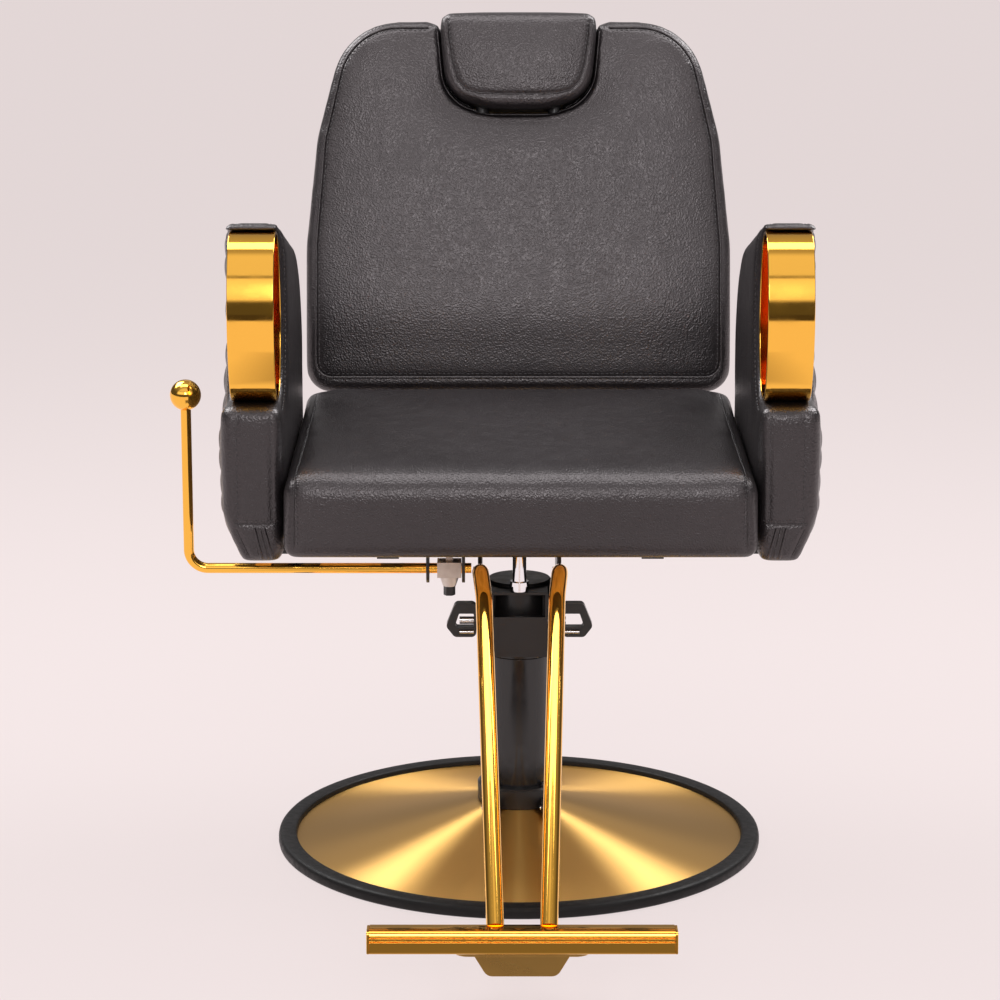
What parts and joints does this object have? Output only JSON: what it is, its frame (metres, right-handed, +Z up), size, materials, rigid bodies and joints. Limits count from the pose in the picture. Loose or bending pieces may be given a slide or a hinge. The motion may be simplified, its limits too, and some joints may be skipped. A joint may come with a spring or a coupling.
{
  "type": "hydraulic barber chair",
  "caption": "Hydraulic barber chair with padded seat, reclining back, lifting headrest, ring-fronted arms, round pump base, foot pedal, T-bar footrest and recline lever.",
  "frame": {"origin": "on the floor, on the axis of the pump column", "axes": "+Z up along the pump column; the sitter faces -Y; +X is to the left of someone sitting in the chair, and the recline lever is at -X"},
  "size_m": [0.7386, 0.9468, 0.9766],
  "materials": {
    "rubber": "matt black ring",
    "gold_satin": "satin gold plate on spun and pressed steel",
    "gold_polished": "polished gold plate on steel",
    "black_steel": "satin black enamel on steel",
    "black_gloss": "gloss black enamel on steel",
    "zinc": "zinc-plated steel",
    "chrome": "polished chrome",
    "bronze": "plain bronze",
    "black_plastic": "moulded black plastic",
    "plywood": "bare birch plywood",
    "leather_black": "charcoal-black soft leather with a low sheen",
    "cast_silver": "bare die-cast metal"
  },
  "bodies": {
    "base": {"base_ring": "rubber", "base_dish": "gold_satin", "pump_collar": "black_steel", "clamp_ring": "black_steel", "collar_screws": "zinc", "pump_tube": "black_gloss", "gland_nut": "black_gloss", "pedal_pins": "zinc"},
    "pedal": {"pedal_arms": "gold_satin", "pedal_plate": "gold_satin"},
    "ram": {"pump_ram": "chrome", "ram_piston": "zinc", "thrust_disc": "bronze"},
    "seat": {"saddle_hub": "black_steel", "hub_cap": "black_steel", "saddle_cheek_left": "black_steel", "saddle_cheek_right": "black_steel", "mount_plate": "black_steel", "plate_bolts": "zinc", "lock_housing": "black_steel", "post_sleeve": "chrome", "support_post": "chrome", "foot_rod_left": "gold_polished", "foot_rod_right": "gold_polished", "foot_bar": "gold_polished", "foot_bar_caps": "gold_polished", "seat_frame": "black_steel", "seat_board": "plywood", "seat_cushion": "leather_black", "arm_pad_left": "leather_black", "arm_pad_right": "leather_black", "arm_core_left": "plywood", "arm_core_right": "plywood", "arm_brackets": "black_steel", "arm_bolts": "zinc", "arm_ring_left": "gold_polished", "arm_ring_right": "gold_polished", "hinge_plates": "black_steel", "hinge_pins": "zinc", "lever_tabs": "black_steel", "gas_anchor": "black_steel", "gas_tube": "black_gloss"},
    "lock": {"lock_shaft": "zinc", "lock_handle_left": "black_plastic", "lock_handle_right": "black_plastic"},
    "lever": {"lever_rod": "gold_polished", "lever_ball": "gold_polished", "release_cam": "cast_silver", "cam_screw": "black_steel"},
    "valve": {"valve_pin": "zinc"},
    "gas_rod": {"gas_rod": "chrome"},
    "back": {"back_brackets": "black_steel", "back_bolts": "zinc", "back_board": "plywood", "back_cushion": "leather_black", "back_cover": "leather_black", "headrest_sleeves": "black_steel", "gas_lug": "black_steel"},
    "headrest": {"headrest_posts": "chrome", "headrest_pad": "leather_black"}
  },
  "joints": [
    {"name": "pedal_pump", "type": "hinge", "parent": "base", "child": "pedal", "pos_m": [0, -0.058, 0.0555], "axis": [1, 0, 0], "range_deg": [0, 3.4], "stiffness_Nm_per_rad": 10, "springref_deg": -34.38},
    {"name": "ram_lift", "type": "slide", "parent": "base", "child": "ram", "axis": [0, 0, 1], "range_m": [0, 0.15]},
    {"name": "seat_swivel", "type": "hinge", "parent": "ram", "child": "seat", "pos_m": [0, 0, 0.27], "axis": [0, 0, 1], "continuous": true},
    {"name": "swivel_lock", "type": "hinge", "parent": "seat", "child": "lock", "pos_m": [0, -0.048, 0.2855], "axis": [1, 0, 0], "range_deg": [0, 30]},
    {"name": "recline_lever", "type": "hinge", "parent": "seat", "child": "lever", "pos_m": [-0.2, -0.1, 0.362], "axis": [-1, 0, 0], "range_deg": [0, 20], "stiffness_Nm_per_rad": 2, "springref_deg": -22.92},
    {"name": "valve_push", "type": "slide", "parent": "seat", "child": "valve", "axis": [0, 1, 0], "range_m": [0, 0.009]},
    {"name": "back_recline", "type": "hinge", "parent": "seat", "child": "back", "pos_m": [0, 0.238, 0.47], "axis": [-1, 0, 0], "range_deg": [0, 50]},
    {"name": "gas_stroke", "type": "slide", "parent": "seat", "child": "gas_rod", "axis": [0, -1, 0], "range_m": [0, 0.08]},
    {"name": "headrest_lift", "type": "slide", "parent": "back", "child": "headrest", "axis": [0, 0.225, 0.9744], "range_m": [0, 0.06]}
  ],
  "couplings": [
    {"joint": "valve_push", "follows": "recline_lever", "m_per_rad": 0.0242},
    {"joint": "gas_stroke", "follows": "back_recline", "m_per_rad": 0.0881}
  ]
}
